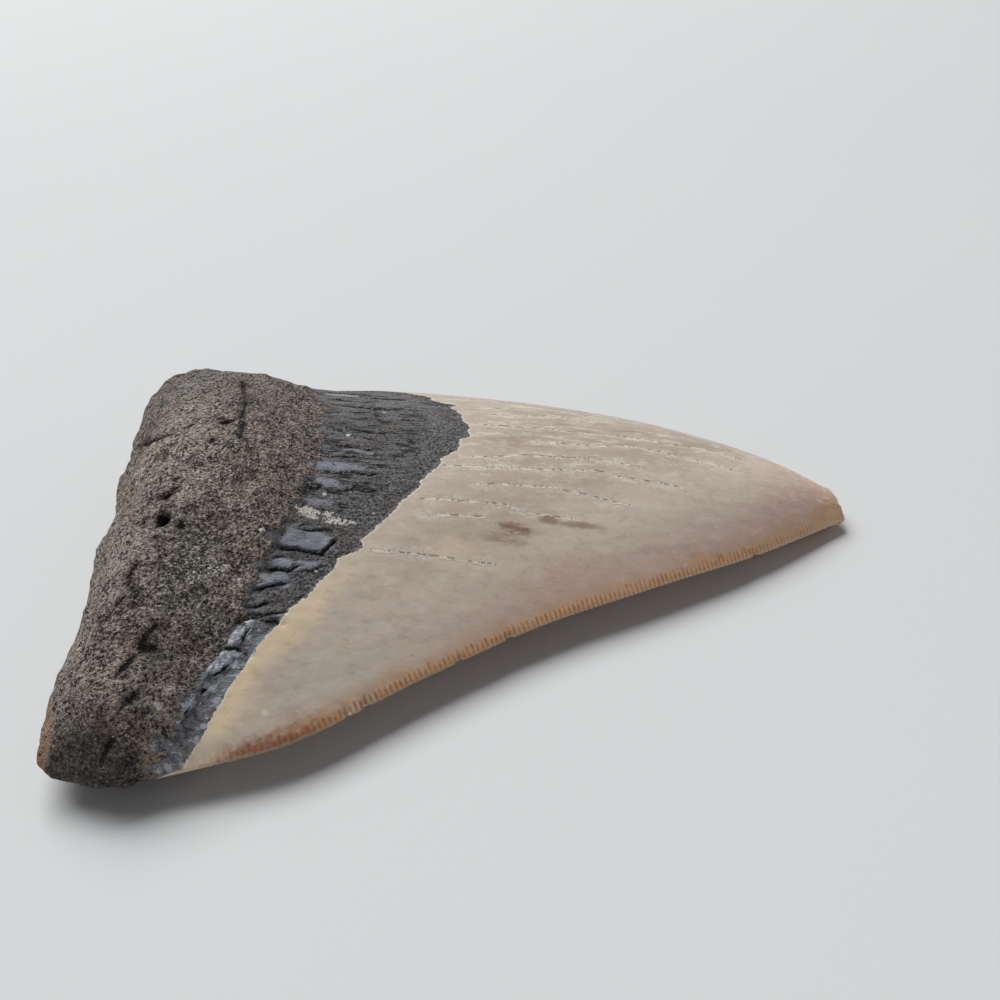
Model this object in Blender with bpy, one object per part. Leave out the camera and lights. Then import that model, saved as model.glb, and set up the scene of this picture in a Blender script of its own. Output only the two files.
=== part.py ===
"""A fossil shark tooth lying on its flat lip-side face, as one closed solid.

Units are metres, with Z up. The tip points along +X and the root along -X. The sizes below are in
millimetres, and MM turns them into metres. The origin ends at the bottom centre of the whole tooth.

The tooth starts as a flat pillow: two square grids, one above the other, welded round their rim. A grid
row runs across the tooth from its near edge to its far edge, and a column runs from the root's end to
the tip. shape_pillow() then moves every point to its place on the tooth.
"""

from math import cos, exp, hypot, pi, sin, sqrt

import bmesh
import bpy
from mathutils import Vector, noise

MM = 0.001

# Rows and columns of the grids. Rows are shared out between root, bourlette (the dark band) and crown.
ROOT_ROWS = 17
BAND_ROWS = 6
CROWN_ROWS = 32
COLUMNS = 34
SERRATION_CUTS = 7

# The plan outline. X runs from root to tip, and the two corners are where the crown meets the root.
NEAR_CORNER = (-8.0, -46.5)
FAR_CORNER = (-7.0, 48.5)
TIP_X = 98.0
TIP_ROUND = 2.1
BAND_AT_CORNER = 3.0
NEAR_EDGE = ((-8.0, -46.5), (6, -43.8), (26, -33), (44, -23.8), (62, -17.1), (78, -10.7), (90, -4.6), (98, 0.0))
FAR_EDGE = ((-7.0, 48.5), (20, 45.6), (40, 40.4), (60, 32.6), (80, 22), (92, 13.2), (96, 9.6), (98, 7.2))

# Each root lobe, as four Bezier points from its end round to its crown corner.
NEAR_LOBE = ((-24.0, -38.5), (-24.6, -46.2), (-17.5, -48.6), NEAR_CORNER)
FAR_LOBE = ((-24.4, 38.0), (-26.0, 48.0), (-18.0, 53.0), FAR_CORNER)
ROOT_ARCH = ((-1, 0), (-0.6, 2.3), (-0.1, 3.0), (0.3, 2.6), (0.7, 1.4), (1, 0))

# How far the band's two edges bow towards the tip, against the place across, from -1 near to 1 far.
GUM_BOW = ((-1, 0), (-0.7, 8.5), (-0.45, 13.5), (-0.15, 17.5), (0.1, 19), (0.45, 17), (0.75, 10), (1, 0))
ENAMEL_BOW = ((-1, 0), (-0.8, 7), (-0.4, 22.5), (-0.1, 33), (0.16, 39.5), (0.4, 36), (0.7, 23), (1, 0))
LABIAL_BOW = ((-1, 0), (-0.6, 5), (0.05, 9), (0.65, 5), (1, 0))
LABIAL_BAND_BOW = 3.0

# Heights, against X: the crest of the tongue side, the rim, and the middle of the flat side.
CREST_HEIGHT = ((-22, 20), (-14, 24), (-6, 25.8), (3, 24.6), (12, 22), (38, 19.4), (65, 16), (86, 11), (100, 4))
RIM_HEIGHT = ((-24, 4.8), (-16, 4.4), (-8, 4.8), (10, 5.3), (60, 5.2), (86, 3.6), (100, 2.2))
BELLY_HEIGHT = ((-24, 6), (-10, 2.4), (10, 1.3), (50, 1.6), (75, 0.9), (88, -0.3), (95, -0.4), (100, 0.6))

# Under each lobe the bone reaches down to the ground: how far, at which X, how long, and how far across.
LOBE_FOOT = 6.2
FOOT_X = -14
FOOT_LENGTH = 7.5
FOOT_ACROSS = 0.74
FOOT_WIDTH = 0.2

# The rim stands higher in the middle of the root's end, where the bone is thickest.
END_RIM_RISE = 7.0

# How much lower the bone is over each lobe than along the middle, and how its edges are rounded.
NEAR_LOBE_DROP = 0.66
FAR_LOBE_DROP = 0.55
UPPER_ROUND = 10
LOWER_SIDE_ROUND = 7
LOWER_END_ROUND = 6
TIP_BLUNT = 4.5

# The powers that say how full the cross-sections are: higher is flatter on top.
ROOT_FULLNESS = 2.2
CROWN_FULLNESS = 2.15
BELLY_FULLNESS = 2.5

# Relief.
ROOT_LUMPS = 1.2
LUMP_WAVE = 9.0
GRAIN = 0.6
GRAIN_WAVE = 3.2
BAND_SUNK = 0.45
SERRATION_DEPTH = 0.3
PITS = ((-14.5, 13.5, 1.3), (-9, 2, 1.0), (-13, -6.5, 1.5), (-19, -38, 1.2), (-8.5, 24, 1.0))
PIT_RADIUS = 1.6


def smooth_step(low, high, x):
    """0 below low, 1 above high, with a smooth turn between."""
    f = min(max((x - low) / (high - low), 0.0), 1.0)
    return f * f * (3 - 2 * f)


def profile(knots, x):
    """A smooth curve through the knots, read at x, flat past both ends."""
    if x <= knots[0][0]:
        return knots[0][1]
    if x >= knots[-1][0]:
        return knots[-1][1]
    slopes = [(b[1] - a[1]) / (b[0] - a[0]) for a, b in zip(knots, knots[1:])]
    i = max(k for k in range(len(slopes)) if knots[k][0] <= x)

    def slope_at(k):
        if k in (0, len(slopes)):
            return slopes[min(k, len(slopes) - 1)]
        before, after = slopes[k - 1], slopes[k]
        return 0.0 if before * after <= 0 else 2 * before * after / (before + after)

    width = knots[i + 1][0] - knots[i][0]
    f = (x - knots[i][0]) / width
    start = knots[i][1] * (1 + 2 * f) * (1 - f) ** 2 + slope_at(i) * width * f * (1 - f) ** 2
    end = knots[i + 1][1] * f * f * (3 - 2 * f) - slope_at(i + 1) * width * f * f * (1 - f)
    return start + end


def bezier(points, f):
    a, b, c, d = (Vector(p) for p in points)
    return a * (1 - f) ** 3 + b * 3 * f * (1 - f) ** 2 + c * 3 * f * f * (1 - f) + d * f**3


def round_over(distance, radius):
    """A quarter circle: 0 at the edge, 1 from radius inwards."""
    f = min(max(distance / radius, 0.0), 1.0)
    return sqrt(1 - (1 - f) ** 2)


def edge_point(row, lobe, edge):
    """The plan point on one edge for a row: 0 at the lobe's end, 1 at the crown corner, 2 where the enamel
    starts, 3 at the tip."""
    if row <= 1:
        return bezier(lobe, row)
    corner_x = edge[0][0]
    enamel_x = corner_x + BAND_AT_CORNER
    if row <= 2:
        x = corner_x + (row - 1) * BAND_AT_CORNER
    else:
        x = enamel_x + (row - 2) * (TIP_X - enamel_x)
    return Vector((x, profile(edge, x)))


def bow(row, across, lower):
    """How far a row bows towards the tip at this place across the tooth."""
    if lower:
        gum = profile(LABIAL_BOW, across)
        enamel = gum + LABIAL_BAND_BOW * (1 - across**2)
    else:
        gum = profile(GUM_BOW, across)
        enamel = profile(ENAMEL_BOW, across)
    arch = profile(ROOT_ARCH, across)
    if row <= 1:
        return arch + (gum - arch) * row
    if row <= 2:
        return gum + (enamel - gum) * (row - 1)
    return enamel * (3 - row)


def plan_point(row, across, lower):
    near = edge_point(row, NEAR_LOBE, NEAR_EDGE)
    far = edge_point(row, FAR_LOBE, FAR_EDGE)
    point = near.lerp(far, (across + 1) / 2)
    point.x += bow(row, across, lower)
    tip_share = smooth_step(2.93, 3.0, row)
    point.x += TIP_ROUND * tip_share * sqrt(max(1 - across**2, 0))
    return point


def place_across(point, across):
    """The point's place between the crown's two edges at its own X, or its column's in the root."""
    corner_x = max(NEAR_CORNER[0], FAR_CORNER[0])
    if point.x >= TIP_X:
        return across
    x = max(point.x, corner_x)
    near, far = profile(NEAR_EDGE, x), profile(FAR_EDGE, x)
    level = (2 * point.y - near - far) / (far - near)
    crown_share = smooth_step(corner_x - 6, corner_x + 8, point.x)
    return across + (min(max(level, -1.0), 1.0) - across) * crown_share


def tooth_point(row, across, side):
    """The point in millimetres. side is 1 on the tongue side, 0 on the rim and -1 on the flat side."""
    point = plan_point(row, across, side < 0)
    rim = profile(RIM_HEIGHT, point.x) + END_RIM_RISE * cos(across * pi / 2) ** 2 * (1 - smooth_step(0, 0.35, row))
    if side == 0:
        return Vector((point.x, point.y, rim))
    from_end = (point - plan_point(0, across, side < 0)).length
    from_edge = (point - plan_point(row, 1.0 if across > 0 else -1.0, side < 0)).length
    level = abs(place_across(point, across))
    crown_share = smooth_step(NEAR_CORNER[0] - 6, NEAR_CORNER[0] + 6, point.x)
    tip_end = round_over(TIP_X + TIP_ROUND * sqrt(max(1 - across**2, 0)) - point.x, TIP_BLUNT)
    if side > 0:
        lobe_drop = NEAR_LOBE_DROP if across < 0 else FAR_LOBE_DROP
        root_form = (1 - lobe_drop * level**ROOT_FULLNESS) * round_over(from_edge, UPPER_ROUND)
        crown_form = 1 - level**CROWN_FULLNESS
        form = root_form + (crown_form - root_form) * crown_share
        form *= round_over(from_end, UPPER_ROUND) * tip_end
        return Vector((point.x, point.y, rim + (profile(CREST_HEIGHT, point.x) - rim) * form))
    rise = level**BELLY_FULLNESS
    low = rim * rise + profile(BELLY_HEIGHT, point.x) * (1 - rise)
    foot = ((abs(across) - FOOT_ACROSS) / FOOT_WIDTH) ** 2 + ((point.x - FOOT_X) / FOOT_LENGTH) ** 2
    low -= LOBE_FOOT * exp(-foot)
    root_form = round_over(from_edge, LOWER_SIDE_ROUND)
    form = (root_form + (1 - root_form) * crown_share) * round_over(from_end, LOWER_END_ROUND) * tip_end
    return Vector((point.x, point.y, max(rim + (low - rim) * form, 0.0)))


def root_relief(point, row):
    """How far the bone stands out or in: lumps, grain and the larger pits, fading out in the band."""
    bone = 1 - smooth_step(0.9, 1.15, row)
    lumps = ROOT_LUMPS * noise.noise(point / LUMP_WAVE) + GRAIN * noise.noise(point / GRAIN_WAVE)
    pits = 0.0
    for x, y, depth in PITS:
        reach = hypot(point.x - x, point.y - y) / PIT_RADIUS
        pits += depth * exp(-(reach**2)) if point.z > 8 else 0.0
    return bone * (lumps - pits)


def band_relief(row, across):
    """The band lies a little lower than the bone on one side and the enamel on the other."""
    inside = smooth_step(0.98, 1.12, row) * (1 - smooth_step(1.9, 2.02, row))
    return -BAND_SUNK * inside * (1 - across**4)


def grid_rows():
    """The row values, shared out between root, band and crown, and closer together at the root's end."""
    root = [(i / ROOT_ROWS) ** 1.5 for i in range(ROOT_ROWS)]
    band = [1 + i / BAND_ROWS for i in range(BAND_ROWS)]
    crown = [2 + i / CROWN_ROWS for i in range(CROWN_ROWS + 1)]
    return root + band + crown


def make_pillow():
    """Two grids welded round their rim. A point's X is its row's number, its Y its place across and its
    Z its side."""
    rows = grid_rows()
    bm = bmesh.new()
    bmesh.ops.create_grid(bm, x_segments=len(rows) - 1, y_segments=COLUMNS, size=1)
    for v in bm.verts:
        row = round((v.co.x + 1) / 2 * (len(rows) - 1))
        on_rim = row in (0, len(rows) - 1) or abs(v.co.y) > 0.999
        v.co = Vector((row, v.co.y, 0 if on_rim else 1))
    copy = bmesh.ops.duplicate(bm, geom=bm.verts[:] + bm.edges[:] + bm.faces[:])["geom"]
    lower_faces = [g for g in copy if isinstance(g, bmesh.types.BMFace)]
    for v in (g for g in copy if isinstance(g, bmesh.types.BMVert)):
        v.co.z = -v.co.z
    bmesh.ops.reverse_faces(bm, faces=lower_faces)
    bmesh.ops.remove_doubles(bm, verts=bm.verts, dist=1e-4)
    return bm, rows


def cut_serrations(bm, first_row):
    """Cuts every rim edge of the crown into short steps, for the serrations to be moved in and out."""
    rim = [
        e
        for e in bm.edges
        if all(abs(v.co.y) > 0.999 and v.co.x >= first_row - 1e-4 for v in e.verts)
    ]
    bmesh.ops.subdivide_edges(bm, edges=rim, cuts=SERRATION_CUTS)


def row_value(rows, number):
    low = min(int(number), len(rows) - 2)
    return rows[low] + (rows[low + 1] - rows[low]) * (number - low)


def shape_pillow(bm, rows):
    """Moves every point to its place on the tooth, then along its normal for the relief."""
    steps = SERRATION_CUTS + 1
    source = {}
    for v in bm.verts:
        row, side = row_value(rows, v.co.x), v.co.z
        notch = round(v.co.x * steps) % 2 if side == 0 and 2 <= row < 2.97 and abs(v.co.y) > 0.999 else 0
        # In the root the columns crowd towards the edges, where the solid turns over.
        crowd = 1 - smooth_step(0.8, 1.6, row)
        across = v.co.y + (sin(v.co.y * pi / 2) - v.co.y) * crowd
        source[v] = (row, across, notch)
        v.co = tooth_point(row, across, side)
    bm.normal_update()
    moves = {}
    for v, (row, across, notch) in source.items():
        out = root_relief(v.co, row) + (band_relief(row, across) if v.normal.z > 0 else 0.0)
        moves[v] = v.normal * out
        if notch:
            moves[v] += Vector((0, -SERRATION_DEPTH if across > 0 else SERRATION_DEPTH, 0))
    for v, move in moves.items():
        v.co += move
        v.co.z = max(v.co.z, 0.0)


def smooth_lobes(bm):
    """Evens out the points round the lobes' ends, where the grid's corners are."""
    ends = [v for v in bm.verts if v.co.x < -12 and v.co.z > 0.01]
    for _ in range(2):
        bmesh.ops.smooth_vert(bm, verts=ends, factor=0.5, use_axis_x=True, use_axis_y=True, use_axis_z=True)


def centre_on_base(bm):
    """Puts the origin at the bottom centre and turns millimetres into metres."""
    low = Vector([min(v.co[axis] for v in bm.verts) for axis in range(3)])
    high = Vector([max(v.co[axis] for v in bm.verts) for axis in range(3)])
    centre = Vector(((low.x + high.x) / 2, (low.y + high.y) / 2, low.z))
    for v in bm.verts:
        v.co = (v.co - centre) * MM


def fossil_material(name, color, roughness):
    material = bpy.data.materials.new(name)
    material.use_nodes = True
    shader = material.node_tree.nodes["Principled BSDF"]
    shader.inputs["Base Color"].default_value = (*color, 1.0)
    shader.inputs["Roughness"].default_value = roughness
    shader.inputs["Metallic"].default_value = 0.0
    return material


def paint_parts(bm, rows):
    """Gives each face its material by the row it lies in: bone, band or enamel."""
    for face in bm.faces:
        row = row_value(rows, sum(v.co.x for v in face.verts) / len(face.verts))
        lower = any(v.co.z < 0 for v in face.verts)
        face.material_index = 0 if row < 1 else 2 if row > 2 or lower else 1
        face.smooth = True


for old in list(bpy.data.objects):
    bpy.data.objects.remove(old, do_unlink=True)

collection = bpy.data.collections.new("megalodon_tooth")
bpy.context.scene.collection.children.link(collection)

pillow, row_values = make_pillow()
cut_serrations(pillow, ROOT_ROWS + BAND_ROWS)
paint_parts(pillow, row_values)
shape_pillow(pillow, row_values)
smooth_lobes(pillow)
centre_on_base(pillow)

mesh = bpy.data.meshes.new("tooth")
pillow.to_mesh(mesh)
pillow.free()
mesh.materials.append(fossil_material("root_bone", (0.12, 0.095, 0.075), 0.85))
mesh.materials.append(fossil_material("bourlette", (0.035, 0.04, 0.048), 0.5))
mesh.materials.append(fossil_material("enamel", (0.52, 0.43, 0.33), 0.35))
tooth = bpy.data.objects.new("tooth", mesh)
collection.objects.link(tooth)
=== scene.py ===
"""A fossil shark tooth, lying on its flat lip-side face on a pale table.

Sizes are in millimetres in the tooth's own frame, where X runs from the root to the tip, Y from the near
cutting edge to the far one, and Z is up. They are turned into metres when the mesh is placed.
"""

from math import cos, pi, radians, sin

import bmesh
import bpy
import numpy as np
from mathutils import Matrix, Vector, noise


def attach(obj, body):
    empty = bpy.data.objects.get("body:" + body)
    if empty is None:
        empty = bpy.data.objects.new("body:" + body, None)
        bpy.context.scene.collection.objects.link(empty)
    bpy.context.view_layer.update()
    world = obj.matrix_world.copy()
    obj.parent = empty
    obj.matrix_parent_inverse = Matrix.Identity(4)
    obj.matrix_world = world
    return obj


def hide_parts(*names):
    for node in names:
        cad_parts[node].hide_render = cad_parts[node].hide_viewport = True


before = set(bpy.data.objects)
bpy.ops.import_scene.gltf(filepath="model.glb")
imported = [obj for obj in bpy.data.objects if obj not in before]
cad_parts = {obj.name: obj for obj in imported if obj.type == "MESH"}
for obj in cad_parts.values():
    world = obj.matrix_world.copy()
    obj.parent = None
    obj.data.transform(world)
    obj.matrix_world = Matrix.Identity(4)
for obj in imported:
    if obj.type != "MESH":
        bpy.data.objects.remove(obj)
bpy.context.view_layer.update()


# ------------------------------------------------------------
# The tooth's form. It grew as one piece: a thick bone root with two lobes, a dark band called the
# bourlette, and a flat triangular crown of enamel that bends a little towards the far side. It is one
# closed skin: two grids, one above the other, welded round their rim and then moved to their places.

MM = 0.001
MIDDLE_X = 37.78
MIDDLE_Y = 1.42

ROOT_ROWS = 44
BAND_ROWS = 24
CROWN_ROWS = 54
LAST_ROW = ROOT_ROWS + BAND_ROWS + CROWN_ROWS
ROOT_ROW_CROWDING = 1.35
COLUMNS = 96
COLUMN_CROWDING = 0.55
RIM_COLUMNS = 3
RIM_CUTS = 4
SMOOTHINGS = 10
SMOOTHED_TO_X = -12

# The outline in plan, and how far the root's end, the gum line and the enamel line bow towards the tip
# at each place from the near edge, -1, to the far one, 1.
NEAR_CORNER = (-8.0, -46.5)
FAR_CORNER = (-7.0, 48.5)
TIP_X = 98.0
TIP_ROUND = 1.9
BAND_AT_CORNER = 3.0
CORNER_BAND = 1.5
CORNER_BAND_PLACE = -0.86
CORNER_BAND_WIDTH = 0.1
ROOT_LENGTH = 16
HALF_WIDTH = 47.5
NEAR_EDGE = (
    NEAR_CORNER, (6, -43.8), (26, -33), (44, -23.8), (62, -17.1), (78, -10.7), (90, -4.6), (98, 0.0),
)
FAR_EDGE = (FAR_CORNER, (20, 45.6), (40, 40.4), (60, 32.6), (80, 22), (92, 13.5), (96, 10.2), (98, 8.2))
NEAR_LOBE = ((-24.0, -38.5), (-24.6, -46.2), (-17.5, -48.6), NEAR_CORNER)
FAR_LOBE = ((-24.4, 38.0), (-26.0, 48.0), (-18.0, 53.0), FAR_CORNER)
ROOT_ARCH = ((-1, 0), (-0.6, 2.3), (-0.1, 3.0), (0.3, 2.6), (0.7, 1.4), (1, 0))
GUM_BOW = ((-1, 0), (-0.7, 8.5), (-0.45, 13.5), (-0.15, 17.5), (0.1, 19), (0.45, 17), (0.75, 10), (1, 0))
ENAMEL_BOW = ((-1, 0), (-0.8, 7), (-0.4, 22.5), (-0.1, 33), (0.16, 39.5), (0.4, 36), (0.7, 23), (1, 0))
LABIAL_BOW = ((-1, 0), (-0.6, 5), (0.05, 9), (0.65, 5), (1, 0))
LABIAL_BAND_BOW = 3.0

# Heights along X of the crest, the rim and the middle of the flat side, and how full the sections are.
CREST_HEIGHT = (
    (-22, 19.6), (-14, 22.9), (-6, 25), (3, 25.3), (12, 22.6), (38, 19.4), (65, 16), (86, 11), (100, 4.6),
)
RIM_HEIGHT = ((-24, 4.8), (-16, 4.4), (-8, 4.8), (10, 5.3), (60, 5.2), (86, 3.6), (100, 2.2))
BELLY_HEIGHT = ((-24, 6), (-10, 2.4), (10, 1.3), (50, 1.6), (75, 0.9), (88, -0.3), (95, -0.4), (100, 0.6))
LOBE_FOOT = 6.2
FOOT_X = -14
FOOT_LENGTH = 7.5
FOOT_ACROSS = 0.74
FOOT_WIDTH = 0.2
END_RIM_RISE = 7.0
NEAR_LOBE_DROP = 0.66
FAR_LOBE_DROP = 0.55
SHOULDER = 1.9
SHOULDER_X = -2.5
SHOULDER_Y = 27
SHOULDER_LENGTH = 6
SHOULDER_WIDTH = 9
UPPER_ROUND = 10
LOWER_SIDE_ROUND = 7
LOWER_END_ROUND = 6
TIP_BLUNT = 2.6
ROOT_FULLNESS = 2.2
CROWN_FULLNESS = 2.15
BELLY_FULLNESS = 2.5

# The enamel ends over the band in a broken line: how far it wanders, the size of its steps, and its
# larger steps, each as its place across, how far it goes and its width.
BREAK_REACH = 0.8
BREAK_WAVE = 2.4
FINE_BREAK_REACH = 0.45
FINE_BREAK_WAVE = 0.9
FULL_BREAK_BAND = 14
BREAK_STEPS = (
    (0.37, 1.6, 0.014), (0.425, -1.5, 0.03), (0.118, 0.7, 0.015), (-0.42, 0.7, 0.02), (-0.455, -0.9, 0.02),
)


def smooth_step(low, high, x):
    """0 below low, 1 above high, with a smooth turn between."""
    f = np.clip((np.asarray(x, float) - low) / (high - low), 0, 1)
    return f * f * (3 - 2 * f)


def hump(distance, reach):
    """A bell curve, 1 at 0 and nearly 0 from twice the reach on."""
    return np.exp(-((distance / reach) ** 2))


def profile(knots, x):
    """A smooth curve through the knots, read at each x, flat past both ends."""
    at, height = np.array(knots, float).T
    widths = np.diff(at)
    slopes = np.diff(height) / widths
    before, after = slopes[:-1], slopes[1:]
    same_way = before * after > 0
    inner = np.where(same_way, 2 * before * after / np.where(same_way, before + after, 1), 0)
    tangents = np.concatenate([slopes[:1], inner, slopes[-1:]])
    x = np.clip(x, at[0], at[-1])
    i = np.clip(np.searchsorted(at, x, side="right") - 1, 0, len(widths) - 1)
    f = (x - at[i]) / widths[i]
    start = height[i] * (1 + 2 * f) * (1 - f) ** 2 + tangents[i] * widths[i] * f * (1 - f) ** 2
    end = height[i + 1] * f * f * (3 - 2 * f) - tangents[i + 1] * widths[i] * f * f * (1 - f)
    return start + end


def bezier(points, f):
    a, b, c, d = np.array(points, float)
    f = f[:, None]
    return a * (1 - f) ** 3 + b * 3 * f * (1 - f) ** 2 + c * 3 * f * f * (1 - f) + d * f**3


def round_over(distance, radius):
    """A quarter circle: 0 at the edge, 1 from radius inwards."""
    f = np.clip(distance / radius, 0, 1)
    return np.sqrt(1 - (1 - f) ** 2)


def noise_at(points, wave, shift=0.0):
    """Smooth noise from -1 to 1 at each point, with lumps about one wave across."""
    return np.array([noise.noise(Vector(p)) for p in (points / wave + shift).tolist()])


def edge_points(row, lobe, edge):
    """Plan points on one edge: row 0 is the lobe's end, 1 the crown corner, 2 the start of the enamel
    and 3 the tip."""
    corner_x = edge[0][0]
    enamel_x = corner_x + BAND_AT_CORNER
    band_x = corner_x + (row - 1) * BAND_AT_CORNER
    x = np.where(row <= 2, band_x, enamel_x + (row - 2) * (TIP_X - enamel_x))
    crown = np.column_stack([x, profile(edge, x)])
    return np.where(row[:, None] <= 1, bezier(lobe, np.clip(row, 0, 1)), crown)


def band_lines(across, lower):
    """How far the gum line and the enamel line bow towards the tip at each place across the tooth."""
    lip_side = profile(LABIAL_BOW, across)
    gum = np.where(lower, lip_side, profile(GUM_BOW, across))
    enamel = np.where(lower, lip_side + LABIAL_BAND_BOW * (1 - across**2), profile(ENAMEL_BOW, across))
    return gum, enamel


def broken_edge(across, lower):
    """How far the enamel's broken edge stands over or short of its line."""
    gum, enamel = band_lines(across, lower)
    line = np.column_stack([across * HALF_WIDTH, np.where(lower, 9.0, 0.0), 0 * across])
    reach = BREAK_REACH * noise_at(line, BREAK_WAVE)
    reach += FINE_BREAK_REACH * noise_at(line, FINE_BREAK_WAVE, 31)
    for place, step, width in BREAK_STEPS:
        reach = reach + step * hump(across - place, width) * ~lower
    return reach * np.clip((BAND_AT_CORNER + enamel - gum) / FULL_BREAK_BAND, 0.1, 1)


def bow(row, across, lower):
    """How far a row bows towards the tip at this place across the tooth."""
    gum, enamel = band_lines(across, lower)
    arch = profile(ROOT_ARCH, across)
    root = arch + (gum - arch) * row
    band = gum + (enamel - gum) * (row - 1)
    crown = enamel * (3 - row)
    near_break = np.where(row < 2, 1 - smooth_step(0, 0.25, 2 - row), 1 - smooth_step(0, 0.12, row - 2))
    near_rim = 1 - smooth_step(0.97, 0.998, np.abs(across))
    broken = broken_edge(across, lower) * near_break * near_rim
    return np.where(row <= 1, root, np.where(row <= 2, band, crown)) + broken


def plan_points(row, across, lower):
    near = edge_points(row, NEAR_LOBE, NEAR_EDGE)
    far = edge_points(row, FAR_LOBE, FAR_EDGE)
    points = near + (far - near) * ((across + 1) / 2)[:, None]
    points[:, 0] += bow(row, across, lower)
    points[:, 0] += TIP_ROUND * smooth_step(2.93, 3.0, row) * np.sqrt(np.clip(1 - across**4, 0, 1))
    return points


def place_across(points, across):
    """Each point's place between the crown's two edges at its own X, or its column's in the root."""
    corner_x = max(NEAR_CORNER[0], FAR_CORNER[0])
    x = np.clip(points[:, 0], corner_x, TIP_X - 0.01)
    near, far = profile(NEAR_EDGE, x), profile(FAR_EDGE, x)
    level = np.clip((2 * points[:, 1] - near - far) / (far - near), -1, 1)
    crown_share = smooth_step(corner_x - 6, corner_x + 8, points[:, 0])
    return np.where(points[:, 0] >= TIP_X, across, across + (level - across) * crown_share)


def tooth_points(row, across, side):
    """Every point in millimetres. side is above 0 on the tongue side, 0 on the rim and below 0 on the
    flat side."""
    lower = side < 0
    plan = plan_points(row, across, lower)
    x, y = plan.T
    end_rise = END_RIM_RISE * np.cos(across * pi / 2) ** 2 * (1 - smooth_step(0, 0.35, row))
    rim = profile(RIM_HEIGHT, x) + end_rise
    from_end = np.linalg.norm(plan - plan_points(0 * row, across, lower), axis=1)
    from_edge = np.linalg.norm(plan - plan_points(row, np.where(across > 0, 1.0, -1.0), lower), axis=1)
    level = np.abs(place_across(plan, across))
    crown_share = smooth_step(NEAR_CORNER[0] - 6, NEAR_CORNER[0] + 6, x)
    tip_end = round_over(TIP_X + TIP_ROUND * np.sqrt(np.clip(1 - across**4, 0, 1)) - x, TIP_BLUNT)
    lobe_drop = np.where(across < 0, NEAR_LOBE_DROP, FAR_LOBE_DROP)
    root_form = (1 - lobe_drop * level**ROOT_FULLNESS) * round_over(from_edge, UPPER_ROUND)
    form = root_form + (1 - level**CROWN_FULLNESS - root_form) * crown_share
    form *= round_over(from_end, UPPER_ROUND) * tip_end
    upper_z = rim + (profile(CREST_HEIGHT, x) - rim) * form
    from_shoulder = ((x - SHOULDER_X) / SHOULDER_LENGTH) ** 2 + ((y - SHOULDER_Y) / SHOULDER_WIDTH) ** 2
    upper_z += SHOULDER * np.exp(-from_shoulder)
    rise = level**BELLY_FULLNESS
    foot = ((np.abs(across) - FOOT_ACROSS) / FOOT_WIDTH) ** 2 + ((x - FOOT_X) / FOOT_LENGTH) ** 2
    low = rim * rise + profile(BELLY_HEIGHT, x) * (1 - rise) - LOBE_FOOT * np.exp(-foot)
    root_form = round_over(from_edge, LOWER_SIDE_ROUND)
    form = (root_form + (1 - root_form) * crown_share) * round_over(from_end, LOWER_END_ROUND) * tip_end
    lower_z = rim + (low - rim) * form
    return np.column_stack([x, y, np.where(side > 0, upper_z, np.where(lower, lower_z, rim))])


def row_values():
    """Rows are shared out between root, band and crown, and lie closer together at the root's end."""
    root = [(i / ROOT_ROWS) ** ROOT_ROW_CROWDING for i in range(ROOT_ROWS)]
    band = [1 + i / BAND_ROWS for i in range(BAND_ROWS)]
    return np.array(root + band + [2 + i / CROWN_ROWS for i in range(CROWN_ROWS + 1)])


def split(bm, wanted, cuts):
    """Splits the wanted edges, and fills each fully split face with a finer grid."""
    edges = [e for e in bm.edges if wanted(e)]
    bmesh.ops.subdivide_edges(bm, edges=edges, cuts=cuts, use_grid_fill=True)


def in_rows(edge, first, last):
    return all(first - 1e-4 <= v.co.x <= last + 1e-4 for v in edge.verts)


def runs_along_rim(edge):
    a, b = (v.co for v in edge.verts)
    inner_column = 1 - 2 * RIM_COLUMNS / COLUMNS
    in_rim = abs(a.y - b.y) < 1e-5 and abs(a.y) > inner_column - 1e-4
    return in_rim and in_rows(edge, ROOT_ROWS + BAND_ROWS, LAST_ROW)


def above(edge):
    return all(v.co.z > -1e-6 for v in edge.verts)


# A point's X is its row's number, its Y its place across, and its Z its side, until it is placed.
rows = row_values()
skin = bmesh.new()
bmesh.ops.create_grid(skin, x_segments=LAST_ROW, y_segments=COLUMNS, size=1)
for v in skin.verts:
    row_number = round((v.co.x + 1) / 2 * LAST_ROW)
    on_rim = row_number in (0, LAST_ROW) or abs(v.co.y) > 0.9999
    v.co = Vector((row_number, v.co.y, 0 if on_rim else 1))
copy = bmesh.ops.duplicate(skin, geom=skin.verts[:] + skin.edges[:] + skin.faces[:])["geom"]
for v in (g for g in copy if isinstance(g, bmesh.types.BMVert)):
    v.co.z = -v.co.z
bmesh.ops.reverse_faces(skin, faces=[g for g in copy if isinstance(g, bmesh.types.BMFace)])
bmesh.ops.remove_doubles(skin, verts=skin.verts, dist=1e-4)

# The cutting edges need short steps for their serrations, the upper side needs finer faces than the
# side it lies on, and the band the finest of all for its cracks.
split(skin, runs_along_rim, RIM_CUTS)
split(skin, above, 1)
split(skin, lambda e: above(e) and in_rows(e, ROOT_ROWS - 1, ROOT_ROWS + BAND_ROWS + 1), 1)

number, across, side = np.array([v.co[:] for v in skin.verts]).T
row = np.interp(number, range(len(rows)), rows)
lower = side < 0
# In the root the columns crowd towards the edges, where the solid turns over.
across += COLUMN_CROWDING * (np.sin(across * pi / 2) - across) * (1 - smooth_step(0.8, 1.6, row))
points = tooth_points(row, across, side)
points[:, 2] = np.maximum(points[:, 2], 0)

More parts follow.
